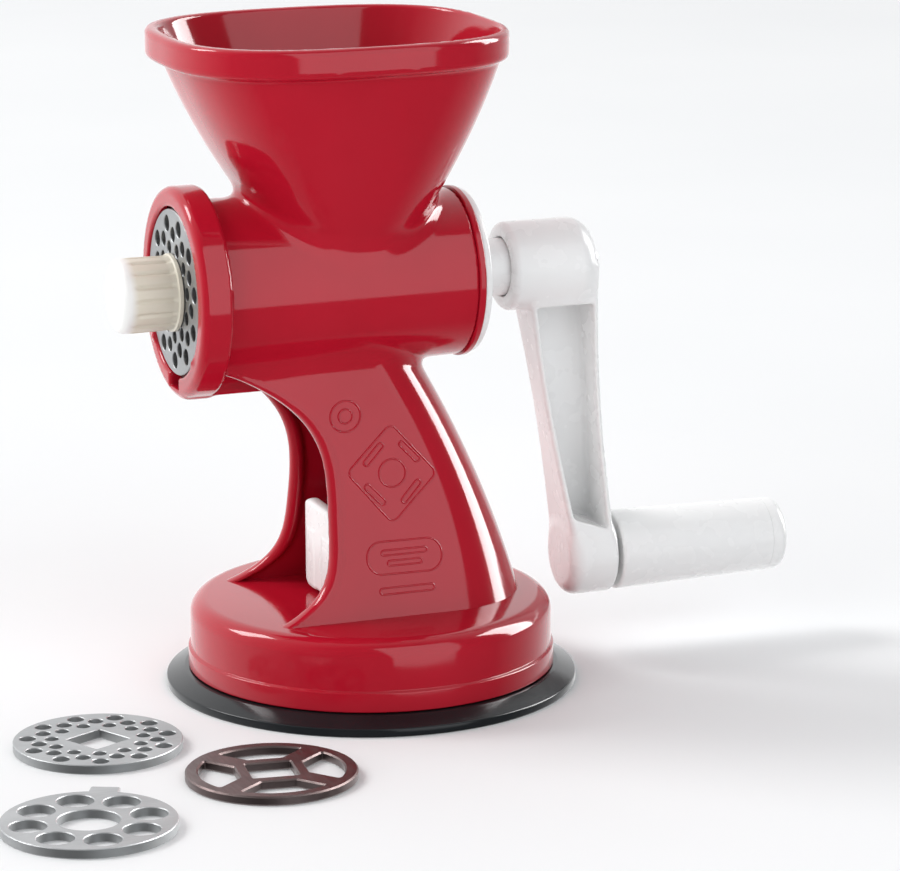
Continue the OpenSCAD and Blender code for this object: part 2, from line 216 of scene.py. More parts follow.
def white_nylon():
    material, tree, node = shader("white_nylon")
    colour = tint(tree, noise(tree, 35, 2), (0.875, 0.873, 0.868), (0.885, 0.883, 0.878))
    tree.links.new(colour, node.inputs["Base Color"])
    tree.links.new(ramp(tree, noise(tree, 120, 2), 0.25, 0.29), node.inputs["Roughness"])
    return material


def cream_nylon():
    """White nylon with painted shade: cream on the clamp nut's body, turning plain white at the nut's outer
    end.
    """
    material, tree, node = shader("cream_nylon")
    # painted shade: the cream tint stands for the white nylon in shade
    body = tint(tree, noise(tree, 30, 4, (0.3, 1, 1)), (0.70, 0.65, 0.53), (0.78, 0.74, 0.63))
    place = tree.nodes.new("ShaderNodeTexCoord")
    split = tree.nodes.new("ShaderNodeSeparateXYZ")
    tree.links.new(place.outputs["Object"], split.inputs["Vector"])
    # the painted shade fades out towards the nut's outer end, which is plain white
    share = ramp(tree, split.outputs["X"], 1, 0, (NUT_LOW[0] + 2.6) * MM, (NUT_LOW[0] + 5.0) * MM)
    mix = tree.nodes.new("ShaderNodeMixRGB")
    mix.inputs["Color2"].default_value = (0.88, 0.88, 0.86, 1)
    tree.links.new(share, mix.inputs["Fac"])
    tree.links.new(body, mix.inputs["Color1"])
    tree.links.new(mix.outputs["Color"], node.inputs["Base Color"])
    tree.links.new(ramp(tree, noise(tree, 90, 3), 0.30, 0.40), node.inputs["Roughness"])
    bump(tree, node, noise(tree, 500, 2), 0.06, 0.0002)
    return material


def ground_steel(name, dark, light, rough_low, rough_high, stretch):
    """Metal with fine grinding lines along one direction and soft stains."""
    material, tree, node = shader(name, Metallic=1.0)
    colour = tint(tree, noise(tree, 55, 5), dark, light)
    tree.links.new(colour, node.inputs["Base Color"])
    lines = noise(tree, 160, 4, stretch)
    tree.links.new(ramp(tree, lines, rough_low, rough_high), node.inputs["Roughness"])
    bump(tree, node, lines, 0.18, 0.0001)
    return material


def black_rubber():
    material, tree, node = shader("black_rubber", Specular_IOR_Level=0.35)
    colour = tint(tree, noise(tree, 40, 4), (0.009, 0.011, 0.013), (0.014, 0.016, 0.018))
    tree.links.new(colour, node.inputs["Base Color"])
    tree.links.new(ramp(tree, noise(tree, 50, 3), 0.10, 0.18), node.inputs["Roughness"])
    bump(tree, node, noise(tree, 300, 3), 0.03, 0.0003)
    return material


RED = red_plastic()
WHITE = white_nylon()
CREAM = cream_nylon()
PLATE_STEEL = ground_steel("plate_steel", (0.39, 0.40, 0.405), (0.47, 0.48, 0.485), 0.44, 0.56, (1, 6, 6))
# Dark steel for the knife. The fixed plate behind the mouth takes it too, as painted shade that makes the
# fine plate's holes read dark.
KNIFE_STEEL_AND_PAINTED_SHADE = ground_steel("knife_steel", (0.125, 0.094, 0.092), (0.18, 0.142, 0.138), 0.36, 0.50, (5, 1, 5))
PLAIN_STEEL = ground_steel("plain_steel", (0.48, 0.48, 0.49), (0.60, 0.60, 0.61), 0.20, 0.32, (1, 8, 8))
RUBBER = black_rubber()
SLOTS = {
    "red_plastic": RED,
    "white_nylon": WHITE,
    "cream_nylon": CREAM,
    "plate_steel": PLATE_STEEL,
    "knife_steel": KNIFE_STEEL_AND_PAINTED_SHADE,
    "plain_steel": PLAIN_STEEL,
    "black_rubber": RUBBER,
}
NODE_SLOT = {part["node"]: part["material_slot"] for part in frame["record"]["subparts"]}
NODE_BODY = {node: body for body, nodes in frame["record"]["behaviour"]["bodies"].items() for node in nodes}


# ---- making pieces --------------------------------------------------------


def piece(name, points, faces, nodes, sharp=35, normals=None, tidy=True, rides=True):
    """A mesh from points in millimetres that stands for CAD nodes and rides on their body."""
    nodes = nodes.split()
    slot = NODE_SLOT[nodes[0]]
    mesh = bpy.data.meshes.new(name)
    mesh.from_pydata((np.asarray(points, float) * MM).tolist(), [], faces)
    if tidy:
        made = bmesh.new()
        made.from_mesh(mesh)
        bmesh.ops.remove_doubles(made, verts=made.verts, dist=1e-7)
        bmesh.ops.recalc_face_normals(made, faces=made.faces)
        made.to_mesh(mesh)
        made.free()
    mesh.polygons.foreach_set("use_smooth", [True] * len(mesh.polygons))
    if normals is None:
        mesh.set_sharp_from_angle(angle=math.radians(sharp))
    else:
        mesh.normals_split_custom_set_from_vertices(normals.tolist())
    mesh.materials.append(SLOTS[slot])
    made_object = bpy.data.objects.new(name, mesh)
    bpy.context.collection.objects.link(made_object)
    if rides:
        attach(made_object, NODE_BODY[nodes[0]])
    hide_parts(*nodes)
    return made_object


def rounded(corners, steps=5):
    """An open outline from (u, v, radius) corners, each turned into an arc of that radius."""
    out = []
    for i, (u, v, radius) in enumerate(corners):
        here = np.array([u, v], float)
        if radius == 0 or i in (0, len(corners) - 1):
            out.append(here)
            continue
        back = np.array(corners[i - 1][:2], float) - here
        ahead = np.array(corners[i + 1][:2], float) - here
        back_len, ahead_len = np.linalg.norm(back), np.linalg.norm(ahead)
        back, ahead = back / back_len, ahead / ahead_len
        half = math.acos(float(np.clip(back @ ahead, -1, 1))) / 2
        cut = min(radius / math.tan(half), 0.49 * back_len, 0.49 * ahead_len)
        middle = (back + ahead) / np.linalg.norm(back + ahead)
        centre = here + middle * cut / math.cos(half)
        first, last = here + back * cut - centre, here + ahead * cut - centre
        turn = math.pi - 2 * half
        for k in range(steps + 1):
            t = k / steps
            arm = (math.sin((1 - t) * turn) * first + math.sin(t * turn) * last) / math.sin(turn)
            out.append(centre + arm)
    return out


def revolved(outline, axis="Z", centre=(0, 0), closed=False, segments=192):
    """Points and faces of an outline of (along, radius) turned about an axis through centre."""
    points, faces, rows = [], [], []
    for along, radius in outline:
        row = []
        for k in range(1 if radius < 1e-6 else segments):
            angle = 2 * math.pi * k / segments
            across = (centre[0] + radius * math.cos(angle), centre[1] + radius * math.sin(angle))
            row.append(len(points))
            points.append((along, *across) if axis == "X" else (*across, along))
        rows.append(row)
    pairs = list(zip(rows, rows[1:])) + ([(rows[-1], rows[0])] if closed else [])
    for a, b in pairs:
        for k in range(segments):
            n = (k + 1) % segments
            quad = [a[k % len(a)], a[n % len(a)], b[n % len(b)], b[k % len(b)]]
            faces.append(list(dict.fromkeys(quad)))
    return points, [f for f in faces if len(f) > 2]


# ---- smooth solids from distance fields -----------------------------------


def smin(a, b, k):
    """Smooth union: a fillet about k wide."""
    h = np.clip(0.5 + 0.5 * (b - a) / k, 0, 1)
    return b * (1 - h) + a * h - k * h * (1 - h)


def smax(a, b, k):
    """Smooth intersection: an edge rounded over about k."""
    return -smin(-a, -b, k)


def box_field(offsets, halves, radius):
    """Rounded box from offsets to its centre along each axis."""
    q = [np.abs(o) - (h - radius) for o, h in zip(offsets, halves)]
    outside = np.sqrt(sum(np.maximum(d, 0) ** 2 for d in q))
    return outside + np.minimum(reduce(np.maximum, q), 0) - radius


def disc_field(along, radial, half, size, radius):
    """Rounded disc or cylinder about an axis."""
    q = [np.abs(along) - (half - radius), radial - (size - radius)]
    outside = np.sqrt(np.maximum(q[0], 0) ** 2 + np.maximum(q[1], 0) ** 2)
    return outside + np.minimum(np.maximum(q[0], q[1]), 0) - radius


def oval_field(x, y, a, b, power):
    """Distance to a superellipse, true near its outline."""
    u, v = np.abs(x) / a + 1e-6, np.abs(y) / b + 1e-6
    total = u**power + v**power
    size = total ** (1 / power)
    slope = np.hypot(u ** (power - 1) / a, v ** (power - 1) / b) * total ** (1 / power - 1)
    return (size - 1) / slope


def gradient(field, p):
    """Unit normals of a field at points, and its slope."""
    g = np.zeros_like(p)
    for i in range(3):
        step = np.zeros(3)
        step[i] = FINE_GRADIENT
        g[:, i] = (field(*(p + step).T) - field(*(p - step).T)) / (2 * FINE_GRADIENT)
    length = np.linalg.norm(g, axis=1)
    return g / length[:, None], length


def field_mesh(field, low, high, step):
    """Points, faces and normals of a field's zero surface, each point moved onto the exact surface."""
    low, high = np.array(low, float), np.array(high, float)
    sizes = np.ceil((high - low) / step).astype(int) + 1
    axes = [low[i] + step * np.arange(sizes[i]) for i in range(3)]
    values = np.empty(tuple(sizes), np.float32)
    y, z = np.meshgrid(axes[1], axes[2], indexing="ij")
    slab = 16
    for i in range(0, sizes[0], slab):
        x = axes[0][i : i + slab][:, None, None]
        values[i : i + slab] = field(x, y[None], z[None])
    grid = openvdb.FloatGrid(background=float(step * 3))
    grid.copyFromArray(values)
    points, triangles, quads = grid.convertToPolygons(isovalue=0.0, adaptivity=0.0)
    points = points.astype(float) * step + low
    for _ in range(4):
        normal, slope = gradient(field, points)
        move = np.clip(field(*points.T) / slope, -0.5 * step, 0.5 * step)
        points -= normal * move[:, None]
    normal, _ = gradient(field, points)
    faces = [tuple(f) for f in quads.tolist()] + [tuple(f) for f in triangles.tolist()]
    sample = quads if len(quads) else triangles
    corner = points[sample[:, :3]]
    turned = np.cross(corner[:, 1] - corner[:, 0], corner[:, 2] - corner[:, 0])
    if (turned * normal[sample[:, 0]]).sum() < 0:
        faces = [f[::-1] for f in faces]
    return points, faces, normal


def field_piece(name, field, low, high, step, node):
    """A piece from a distance field."""
    points, faces, normals = field_mesh(field, low, high, step)
    return piece(name, points, faces, node, normals=normals, tidy=False)


# ---- housing --------------------------------------------------------------


def flare_at(z):
    t = (z - HOPPER_LOW) / (RIM_Z - LIP_H - HOPPER_LOW)
    return t * (1 + 0.35 * (1 - t))


def hopper_field(x, y, z, grow):
    """The hopper's cone, grown by a wall."""
    flare = flare_at(np.maximum(z, 143))
    a = THROAT_A + (HOPPER_A - BAND_A - THROAT_A) * flare + grow
    b = THROAT_B + (HOPPER_B - BAND_B - THROAT_B) * flare + grow
    middle = THROAT_X + (HOPPER_X + 1.2 - THROAT_X) * flare
    return 0.88 * oval_field(x - middle, y, a, b, 2.4 + 0.4 * flare)


def half_w(z):
    return 20 + 12 * np.maximum(0, (100 - z) / 70) ** 2.2


def back_x(z):
    d = z - BASE_Z
    return 50.4 - 0.28 * d - 0.0019 * d * d


def front_x(z):
    high = -21.5 - 24.5 * (np.maximum(z - 66, 0) / 41.4) ** 3
    low = -21.5 - 0.04 * (66 - z) - 18 * (np.maximum(66 - z, 0) / 36.6) ** 5
    return np.where(z > 66, high, low)


def stand_field(x, y, z):
    """Wall of the stand: straight sides, a round back, open towards -X, with a thick round rim."""
    level = np.maximum(z, BASE_Z - 1)
    middle = half_w(level) - WALL / 2
    centre = back_x(level) - half_w(level)
    side = np.abs(np.abs(y) - middle)
    back = np.abs(np.hypot(x - centre, y) - middle)
    end = np.hypot(x - front_x(level) - RIM_R, np.abs(y) - middle)
    wall = np.where(x > centre, back, np.where(x < front_x(level) + RIM_R, end, side)) - WALL / 2
    rim = np.hypot(x - front_x(level) - RIM_R, np.abs(y) - half_w(level) + RIM_R) - RIM_R
    return smax(smin(wall, rim, 1), np.abs(z - 72) - 45, 0.5)


def barrel_radius(x):
    start = MOUTH_X + COLLAR_LEN
    return BARREL_R1 + (BARREL_R2 - BARREL_R1) * (x - start) / (REAR_X - start)


def housing_field(x, y, z):
    up = z - AXIS_Z
    radial = np.hypot(y, up)
    rear = REAR_X - 2.3
    length = np.abs(x - (rear + MOUTH_X + 3) / 2) - (rear - MOUTH_X - 3) / 2
    barrel = smax(radial - barrel_radius(x), length, 0.8)
    collar_x = MOUTH_X + COLLAR_LEN / 2
    collar = disc_field(x - collar_x, radial, COLLAR_LEN / 2, COLLAR_R, np.where(x < collar_x, 2.6, 1.4))
    keel = smax(radial - KEEL_R, box_field((x + 49, y, up + 30), (15.5, 8, 8), 1.5), 1.5)
    solid = smin(smin(barrel, collar, 1.2), keel, 3)
    solid = smin(solid, stand_field(x, y, z), 4.5)
    hopper = smax(hopper_field(x, y, z, 0), 143 - z, 2)
    band = oval_field(x - HOPPER_X, y, HOPPER_A, HOPPER_B, 2.8)
    middle_z = RIM_Z - LIP_H / 2
    band_up = np.abs(z - middle_z) - LIP_H / 2
    corner = 1.9
    q0, q1 = band + corner, band_up + corner
    band = np.hypot(np.maximum(q0, 0), np.maximum(q1, 0)) + np.minimum(np.maximum(q0, q1), 0) - corner
    hopper = smin(smax(hopper, z - middle_z, 1), band, 1.6)
    solid = smin(solid, hopper, 6.5)
    inside = smax(hopper_field(x, y, z, -HOPPER_WALL), 146 - z, 1)
    bore_length = np.abs(x - (SEAT_X + REAR_X - BUSH_DEPTH) / 2) - (REAR_X - BUSH_DEPTH - SEAT_X) / 2
    bore = smax(radial - BORE_R, bore_length, 0.4)
    seat = smax(radial - SEAT_R, x - SEAT_X, 0.4)
    notch = np.maximum(np.abs(y) - TAB_HALF, np.maximum(x - SEAT_X, np.maximum(-up - TAB_DROP, up)))
    journal = radial - 14.0
    hollow = np.minimum(np.minimum(smin(inside, bore, 2), seat), np.minimum(notch, np.maximum(journal, -x)))
    return smax(solid, -hollow, 1.2)


def make_housing():
    low = (MOUTH_X - 3, -HOPPER_B - 3, BASE_Z - 4)
    high = (52, HOPPER_B + 3, RIM_Z + 3)
    return field_piece("housing_body", housing_field, low, high, HOUSING_STEP, "hopper barrel stand")


def make_rear_ring():
    """Thin ring at the barrel's rear, behind a groove line."""
    r = BARREL_R2
    outline = rounded([
        (REAR_X - 5, r - 2, 0), (REAR_X - 2.35, r - 1.2, 0.2), (REAR_X - 2.25, r + 0.7, 0.5),
        (REAR_X, r + 0.7, 0.6),
        (REAR_X, r - 1, 0.2), (REAR_X - 0.4, 14.1, 0.2), (REAR_X - 5, 14.1, 0),
    ])
    points, faces = revolved(outline, "X", (0, AXIS_Z), closed=True)
    return piece("housing_rear_ring", points, faces, "barrel")


def make_base():
    """Round base: skirt step, upright wall, rounded shoulder and a flat top with the stud's hole."""
    hole = 6.05
    outline = rounded([
        (SHELL_Z, BASE_R - 2.8, 0.4), (SHELL_Z, SKIRT_R, 0.5), (SKIRT_Z - 0.6, SKIRT_R, 0.5),
        (SKIRT_Z, BASE_R - 0.1, 0.35), (SKIRT_Z + 2, BASE_R, 0), (BASE_Z, BASE_R, 5.6), (BASE_Z, hole, 0.3),
        (BASE_Z - 2.8, hole, 0.3), (BASE_Z - 2.8, BASE_R - 2.8, 4), (SHELL_Z + 2, BASE_R - 2.8, 0),
    ], steps=8)
    points, faces = revolved(outline, closed=True, segments=256)
    return piece("housing_base", points, faces, "base_shell", sharp=50)


def bead(path, width, height, name):
    """Low round-topped rib along a closed path on the stand's near face."""
    path = np.array(path)
    ahead = np.roll(path, -1, 0) - np.roll(path, 1, 0)
    ahead /= np.linalg.norm(ahead, axis=1)[:, None]
    out = np.array([0.0, -1.0, 0.0])
    across = np.cross(ahead, out)
    across /= np.linalg.norm(across, axis=1)[:, None]
    profile = [(-1, -0.35), (-0.85, 0.45), (-0.45, 0.9), (0, 1), (0.45, 0.9), (0.85, 0.45), (1, -0.35)]
    points = [p + c * width / 2 * s + out * height * h for p, c in zip(path, across) for s, h in profile]
    n, m = len(path), len(profile)
    faces = [
        (i * m + j, i * m + j + 1, (i + 1) % n * m + j + 1, (i + 1) % n * m + j)
        for i in range(n) for j in range(m - 1)
    ]
    faces += [(i * m + m - 1, i * m, (i + 1) % n * m, (i + 1) % n * m + m - 1) for i in range(n)]
    return piece(name, points, faces, "stand", sharp=60)


def on_near_face(outline):
    """An (x, z) outline laid on the stand's near face."""
    return [(x, -float(half_w(z)), z) for x, z in outline]


def resampled(outline, spacing):
    """A closed outline with points at an even spacing."""
    closed = np.array([*outline, outline[0]])
    length = np.concatenate([[0], np.cumsum(np.linalg.norm(np.diff(closed, axis=0), axis=1))])
    at = np.linspace(0, length[-1], int(length[-1] / spacing) + 1)[:-1]
    return np.stack([np.interp(at, length, closed[:, k]) for k in range(2)], 1)


def rounded_loop(corners, steps=6):
    """A closed outline with every corner rounded."""
    return rounded([corners[-1], *corners, corners[0]], steps)[1:-1]


def ring(x, z, radius, count=40):
    """A round outline on the near face."""
    return [(x + radius * math.cos(2 * math.pi * k / count), z + radius * math.sin(2 * math.pi * k / count))
            for k in range(count)]


def bar(x, z, dx, dz, half_l, half_w_):
    """A short rounded bar's outline about a point, along a direction."""
    length = math.hypot(dx, dz)
    dx, dz = dx / length, dz / length
    corners = [(sx * half_l, sz * half_w_, half_w_ * 0.9) for sx, sz in ((1, 1), (-1, 1), (-1, -1), (1, -1))]
    return [(x + u * dx - v * dz, z + u * dz + v * dx) for u, v in rounded_loop(corners, 4)]


def make_emblems():
    """Plain marks on the near face: a diamond with a ring and bars, a pill with bars, a bar and two rings."""
    line, height = 0.62, 0.34
    outlines = {}
    mid_x, mid_z, half_x, half_z = 0.3, 75.2, 15.6, 16.5
    corners = [(mid_x + half_x, mid_z - 1.2, 2.4), (mid_x, mid_z + half_z, 2.4),
               (mid_x - half_x, mid_z + 1.2, 2.4), (mid_x - 0.8, mid_z - half_z, 2.4)]
    outlines["emblem_diamond"] = resampled(rounded_loop(corners), 0.6)
    outlines["emblem_ring"] = ring(mid_x, mid_z, 4.6)
    for name, sx, sz in (("a", 1, 1), ("b", -1, 1), ("c", -1, -1), ("d", 1, -1)):
        outlines[f"emblem_bar_{name}"] = bar(mid_x + sx * half_x * 0.40, mid_z + sz * half_z * 0.40,
                                             -sx * half_x, sz * half_z, 4.6, 1.0)
    pill_x, pill_z, pill_l, pill_h = 2.6, 48.0, 13.0, 5.2
    corners = [(pill_x + pill_l * sx, pill_z + pill_h * sz - 0.1 * sx, 5.0)
               for sx, sz in ((1, 1), (-1, 1), (-1, -1), (1, -1))]
    outlines["emblem_pill"] = resampled(rounded_loop(corners, 10), 0.6)
    for k, (dz, half_l) in enumerate(((1.6, 8.0), (-1.8, 6.0))):
        outlines[f"emblem_pill_bar_{k + 1}"] = bar(pill_x, pill_z + dz, 1, 0, half_l, 0.8)
    outlines["emblem_foot_bar"] = bar(2.4, 37.6, 1, 0, 9.5, 1.0)
    outlines["emblem_top_ring"] = ring(-15.3, 95.3, 5.2)
    outlines["emblem_top_dot"] = ring(-15.3, 95.3, 2.4, 24)
    for name, outline in outlines.items():
        bead(on_near_face(resampled(outline, 0.6)), line, height, name)


# ---- fixed pieces ---------------------------------------------------------


def make_rear_bush():
    r = BARREL_R2
    outline = rounded([
        (REAR_X - BUSH_DEPTH, SHAFT_R + 0.1, 0.2), (REAR_X - BUSH_DEPTH, 13.95, 0.3),
        (REAR_X + 0.02, 13.95, 0),
        (REAR_X + 0.02, r, 0.3), (BUSH_HIGH[0], r - 0.4, 0.9), (BUSH_HIGH[0], r - 6, 0.5),
        (BUSH_HIGH[0] - 0.7, r - 7.4, 0.6), (BUSH_HIGH[0] - 0.7, SHAFT_R + 2.2, 0.5),
        (BUSH_HIGH[0], SHAFT_R + 1.6, 0.3), (BUSH_HIGH[0], SHAFT_R + 0.1, 0.2),
    ])
    points, faces = revolved(outline, "X", (0, AXIS_Z), closed=True)
    return piece("rear_bush_ring", points, faces, "rear_bush")


def make_pad():
    """Rubber suction pad: flat rim on the worktop, sloped skirt and a raised boss for the stud."""
    outline = rounded([
        (3.6, 0, 0), (3.2, 20, 6), (1.6, 44, 8), (0, 57, 2), (0, PAD_R, 0.5), (2.7, PAD_R, 0.6),
        (3.1, PAD_R - 1, 0.5),
        (5.4, SKIRT_R + 1.3, 0.4), (5.6, SKIRT_R + 0.2, 0.3), (5.7, 56, 0.4), (5.8, 44, 3), (8, 22, 3),
        (11.4, 20, 0.8), (11.6, 17, 0.4), (11.6, 16.3, 0.2), (7.05, 16.25, 0.2), (7.0, 6.05, 0.1),
        (5.0, 6.0, 0.1),
        (5.0, 0, 0),
    ], steps=4)
    points, faces = revolved(outline, segments=224)
    pad = piece("suction_pad_rubber", points, faces, "suction_pad", sharp=40, rides=False)
    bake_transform(pad)
    return pad


# ---- plates ---------------------------------------------------------------


def circle(x, y, radius, count=48):
    """Points round a circle."""
    return [
        (x + radius * math.cos(2 * math.pi * k / count), y + radius * math.sin(2 * math.pi * k / count))
        for k in range(count)
    ]


def area_of(loop):
    x, y = np.array(loop).T
    return float((x * np.roll(y, -1) - np.roll(x, -1) * y).sum() / 2)


def inset(loop, by):
    """A closed loop moved to its left by a distance, with mitred corners."""
    p = np.array(loop, float)
    edge = np.roll(p, -1, 0) - p
    edge /= np.linalg.norm(edge, axis=1)[:, None]
    left = np.stack([-edge[:, 1], edge[:, 0]], 1)
    before = np.roll(left, 1, 0)
    mitre = left + before
    mitre /= np.maximum((mitre * left).sum(1), 0.3)[:, None]
    return p + mitre * by


def plate_mesh(outer, holes, thickness, bevel):
    """A flat plate between 0 and thickness with holes, and all its edges bevelled."""
    loops = [outer if area_of(outer) > 0 else outer[::-1]]
    loops += [h if area_of(h) < 0 else h[::-1] for h in holes]
    levels = [(0, bevel), (bevel, 0), (thickness - bevel, 0), (thickness, bevel)]
    points, faces, starts = [], [], []
    for loop in loops:
        start, n = len(points), len(loop)
        starts.append(start)
        for z, by in levels:
            points += [(x, y, z) for x, y in inset(loop, by)]
        for level in range(3):
            for k in range(n):
                a, b = start + level * n, start + (level + 1) * n
                faces.append((a + k, a + (k + 1) % n, b + (k + 1) % n, b + k))
    for level in (0, 3):
        rings = [list(range(s + level * len(loop), s + (level + 1) * len(loop)))
                 for s, loop in zip(starts, loops)]
        flat = [i for ring in rings for i in ring]
        cover = tessellate_polygon([[Vector(points[i]) for i in ring] for ring in rings])
        faces += [tuple(flat[i] for i in face) for face in cover]
    return points, faces


def placed(points, matrix):
    """Points in millimetres moved by a matrix."""
    return [tuple(matrix @ Vector(p)) for p in points]


def square(side, radius=0.5, turn=0.0):
    half = side / 2
    loop = np.array(rounded_loop([(half, half, radius), (-half, half, radius), (-half, -half, radius),
                                  (half, -half, radius)], 3))
    c, s = math.cos(turn), math.sin(turn)
    return [(x * c - y * s, x * s + y * c) for x, y in loop]


FINE_RINGS = (22.5, 18.9, 14.7)
FINE_COUNT = 11
FINE_HOLE = 5.4
COARSE_COUNT = 8
COARSE_RING = 18.6
COARSE_HOLE_R = 5.8
COARSE_BORE_R = 9.65
DRIVE_SQUARE = 14.5


def fine_plate_mesh(thickness):
    """Three rings of small holes round a square drive hole."""
    holes = [square(DRIVE_SQUARE)]
    for ring, radius in enumerate(FINE_RINGS):
        for k in range(FINE_COUNT):
            angle = 2 * math.pi * (k + (0.5 if ring == 1 else 0)) / FINE_COUNT
            size = (FINE_HOLE - 0.5 * ring) / 2
            holes.append(circle(radius * math.cos(angle), radius * math.sin(angle), size, 36))
    return plate_mesh(circle(0, 0, PLATE_R, 192), holes, thickness, 0.22)


def coarse_plate_mesh(thickness):
    """Eight large holes round a plain centre hole, with a locating tab on the rim."""
    reach, tab = 31.2, 9.2
    start = math.asin(tab / 2 / PLATE_R)
    arc = [start + (2 * math.pi - 2 * start) * k / 180 for k in range(181)]
    outer = [(PLATE_R * math.cos(a), PLATE_R * math.sin(a)) for a in arc]
    outer += [tuple(p) for p in rounded([(*outer[-1], 0), (reach, -tab / 2, 0.8), (reach, tab / 2, 0.8),
                                         (*outer[0], 0)], 4)[1:-1]]
    holes = [circle(0, 0, COARSE_BORE_R, 64)]
    for k in range(COARSE_COUNT):
        angle = 2 * math.pi * (k + 0.5) / COARSE_COUNT
        x, y = COARSE_RING * math.cos(angle), COARSE_RING * math.sin(angle)
        holes.append(circle(x, y, COARSE_HOLE_R, 56))
    return plate_mesh(outer, holes, thickness, 0.25)


def knife_mesh(thickness):
    """Rim and four arms with bevelled windows between them round a square hub."""
    rim, inner, half = 22.9, 11.0, 5.4
    holes = [square(DRIVE_SQUARE)]
    for quarter in range(4):
        turn = math.pi / 2 * quarter
        edge = half - inner
        reach = (-edge + math.sqrt(2 * rim * rim - edge * edge)) / 2
        low = math.atan2(-(reach + edge), reach)
        arc = [low - 2 * low * k / 20 for k in range(21)]
        corners = [(inner, half, 1.0), (inner, -half, 1.0)]
        corners += [(rim * math.cos(a), rim * math.sin(a), 1.0 if k in (0, 20) else 0)
                    for k, a in enumerate(arc)]
        c, s = math.cos(turn), math.sin(turn)
        holes.append([(x * c - y * s, x * s + y * c) for x, y in rounded_loop(corners, 3)])
    return plate_mesh(circle(0, 0, PLATE_R, 192), holes, thickness, 0.5)


def in_mouth(x, thickness):
    """Turns a flat plate so that its upper face looks out of the mouth and its tab points down."""
    return (Matrix.Translation((x + thickness, 0, AXIS_Z)) @ Matrix.Rotation(-math.pi / 2, 4, "Y")
            @ Matrix.Rotation(math.pi, 4, "Z"))


def lying(node, turn):
    """Places a flat plate where a CAD plate lies, turned by an angle in degrees."""
    low, high = span(node)
    return Matrix.Translation(((low[0] + high[0]) / 2, (low[1] + high[1]) / 2, 0)) @ Matrix.Rotation(
        math.radians(turn), 4, "Z")


def make_plates():
    points, faces = fine_plate_mesh(ROTATING_T)
    place = in_mouth(PLATE_LOW[0], ROTATING_T)
    piece("rotating_plate_disc", placed(points, place), faces, "rotating_plate", 28)
    points, faces = fine_plate_mesh(PLATE_T)
    place = lying("loose_fine_plate", 27)
    piece("loose_fine_plate_disc", placed(points, place), faces, "loose_fine_plate", 28)
    points, faces = coarse_plate_mesh(PLATE_T)
    fixed_x = span("fixed_plate")[0][0]
    # painted shade: the fixed plate's slot is the dark knife steel, so the fine plate's holes in front of it
    # read dark
    piece("fixed_plate_disc", placed(points, in_mouth(fixed_x, PLATE_T)), faces, "fixed_plate", 28)
    turn = 64.5
    low = span("loose_coarse_plate")[0]
    low_x, low_y = low[0] + PLATE_R, low[1] + PLATE_R
    place = Matrix.Translation((low_x, low_y, 0)) @ Matrix.Rotation(math.radians(turn), 4, "Z")
    piece("loose_coarse_plate_disc", placed(points, place), faces, "loose_coarse_plate", 28)
    points, faces = knife_mesh(PLATE_T)
    piece("loose_knife_plate", placed(points, lying("loose_knife_disc", -7)), faces, "loose_knife_disc", 28)


# ---- drive ----------------------------------------------------------------


def arm_back(s):
    return HUB_X + HUB_LEN + 6.5 * s


def arm_front(s):
    return HUB_X + 5.6 + 18 * s


def arm_field(x, y, z):
    """Crank arm: hub, boss and a bar hollowed from its near side."""
    up = z - AXIS_Z
    s = np.clip(-up / THROW, 0, 1)
    hub_mid = HUB_X + HUB_LEN / 2
    hub = disc_field(x - hub_mid, np.hypot(y, up), HUB_LEN / 2, HUB_R, np.where(x < hub_mid, 2.4, 7.0))
    low = z - GRIP_Z
    boss_half = (GRIP_LOW[0] - 2 - HUB_X - BOSS_FROM) / 2
    boss = disc_field(x - HUB_X - BOSS_FROM - boss_half, np.hypot(y, low), boss_half, BOSS_R,
                      np.where(x < HUB_X + BOSS_FROM + boss_half, 4.5, 1.2))
    front, back = arm_front(s), arm_back(s)
    half = 11.6 - 4.6 * np.sin(math.pi * np.minimum(1, s * 1.1)) + 2 * np.maximum(0, s - 0.85)
    middle, depth = (front + back) / 2, (back - front) / 2
    ends = np.abs(z - (AXIS_Z + GRIP_Z) / 2) - THROW / 2
    bar = smax(box_field((x - middle, y), (depth, half), 2.0), ends, 1)
    lip, web = 1.9, 3.0
    channel = smax(smax(front + lip - x, x - back + lip, 1.0), y - half + web, 2.0)
    top = up + HUB_R * 0.9
    bottom = (GRIP_Z + BOSS_R * 0.75 + np.abs(x - back + 2) * 0.35) - z
    channel = smax(channel, smax(top, bottom, 1.0), 1.5)
    solid = smin(smin(hub, bar, 2.5), boss, 2.5)
    solid = smax(solid, -channel, 1.3)
    bore = smax(np.hypot(y, up) - SHAFT_R - 0.35, x - HUB_X - 6, 0.4)
    screw_hole = smax(np.hypot(y, up) - 6.25, HUB_X + HUB_LEN - 1.2 - x, 0.3)
    return smax(solid, -np.minimum(bore, screw_hole), 0.7)


def make_crank():
    low = (HUB_X - 2, -HUB_R - 2, GRIP_Z - BOSS_R - 2)
    high = (ARM_HIGH[0] + 2, HUB_R + 2, AXIS_Z + HUB_R + 2)
    return field_piece("crank_arm_body", arm_field, low, high, ARM_STEP, "crank_arm")


